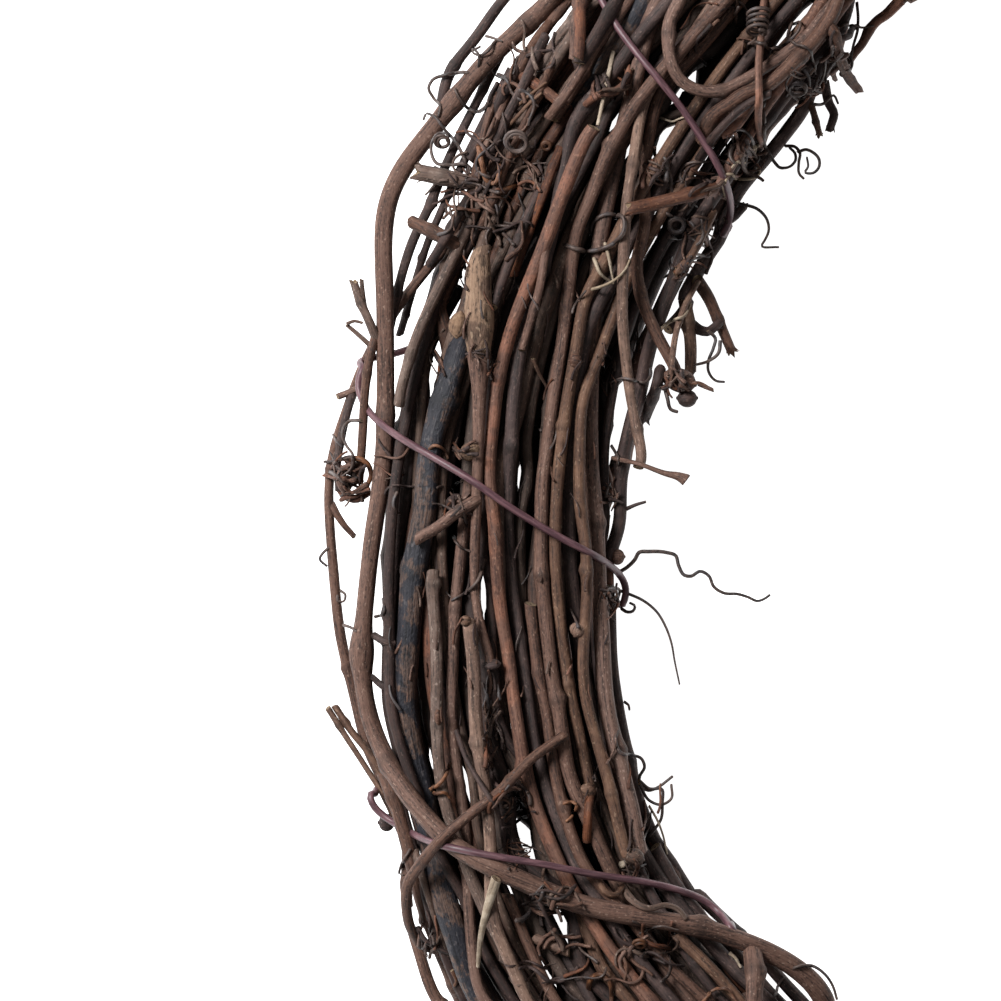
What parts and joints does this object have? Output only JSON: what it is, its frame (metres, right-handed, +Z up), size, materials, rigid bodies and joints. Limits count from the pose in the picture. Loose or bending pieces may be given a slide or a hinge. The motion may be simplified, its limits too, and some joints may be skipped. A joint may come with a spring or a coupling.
{
  "type": "grapevine wreath",
  "caption": "Round wreath of dried grapevines laid side by side in a ring, bound by a wound vine and a thin coated wire, with cut ends, spurs and curling tendrils.",
  "frame": {"origin": "middle of the bottom of the wreath's box, on the surface it lies on", "axes": "+Z up through the ring's hole, out of the decorative face; the pictured side is at -X, and +Y is the picture's up"},
  "size_m": [0.3576, 0.3742, 0.052],
  "materials": {
    "bark_brown": "matte dried vine bark, mid brown, fine lengthwise striations and specks",
    "bark_dark": "matte dried vine bark, dark brown, lengthwise striations",
    "bark_grey": "matte dried vine bark, weathered grey-brown",
    "bark_red": "matte dried vine bark, reddish brown",
    "bark_light": "matte dried vine bark, light brown",
    "bark_rough": "rough flaking bark with pale lichen-like crust",
    "bark_stained": "mottled blue-black stained bark",
    "wood_pale": "peeled or split pale wood",
    "wire_coat": "purple-brown coated binding wire, low sheen"
  },
  "bodies": {
    "root": {"vine_outer_thin": "bark_brown", "vine_outer_dark": "bark_dark", "cane_stained": "bark_stained", "vine_outer_grey": "bark_grey", "vine_forked": "bark_brown", "cane_stub_lichen": "bark_rough", "vine_grey_long": "bark_grey", "vine_russet": "bark_red", "vine_dark_long": "bark_dark", "vine_red_cut": "bark_red", "vine_brown_long": "bark_brown", "vine_middle_brown": "bark_brown", "vine_middle_knobbed": "bark_light", "vine_middle_dark": "bark_dark", "vine_inner_light": "bark_light", "vine_inner_stout": "bark_brown", "vine_inner_edge": "bark_light", "vine_hanging_cut": "bark_light", "vine_inner_thin": "bark_dark", "vine_inner_purple": "bark_dark", "vine_back_01": "bark_brown", "vine_back_02": "bark_dark", "vine_back_03": "bark_grey", "vine_back_04": "bark_red", "vine_back_05": "bark_light", "vine_back_06": "bark_brown", "vine_back_07": "bark_dark", "vine_back_08": "bark_grey", "vine_back_09": "bark_red", "vine_back_10": "bark_light", "vine_back_11": "bark_brown", "vine_back_12": "bark_dark", "vine_inside_1": "bark_grey", "vine_inside_2": "bark_red", "vine_inside_3": "bark_light", "vine_inside_4": "bark_brown", "vine_inside_5": "bark_dark", "vine_inside_6": "bark_grey", "vine_inside_7": "bark_red", "vine_wrapped": "bark_brown", "wire_binding": "wire_coat", "vine_u_turn": "bark_brown", "twig_looped": "bark_brown", "twig_split_pale": "wood_pale", "twig_thin_pale": "wood_pale", "twig_curved_thin": "bark_dark", "twig_trumpet": "bark_brown", "twig_outer_long": "bark_light"}
  },
  "joints": []
}
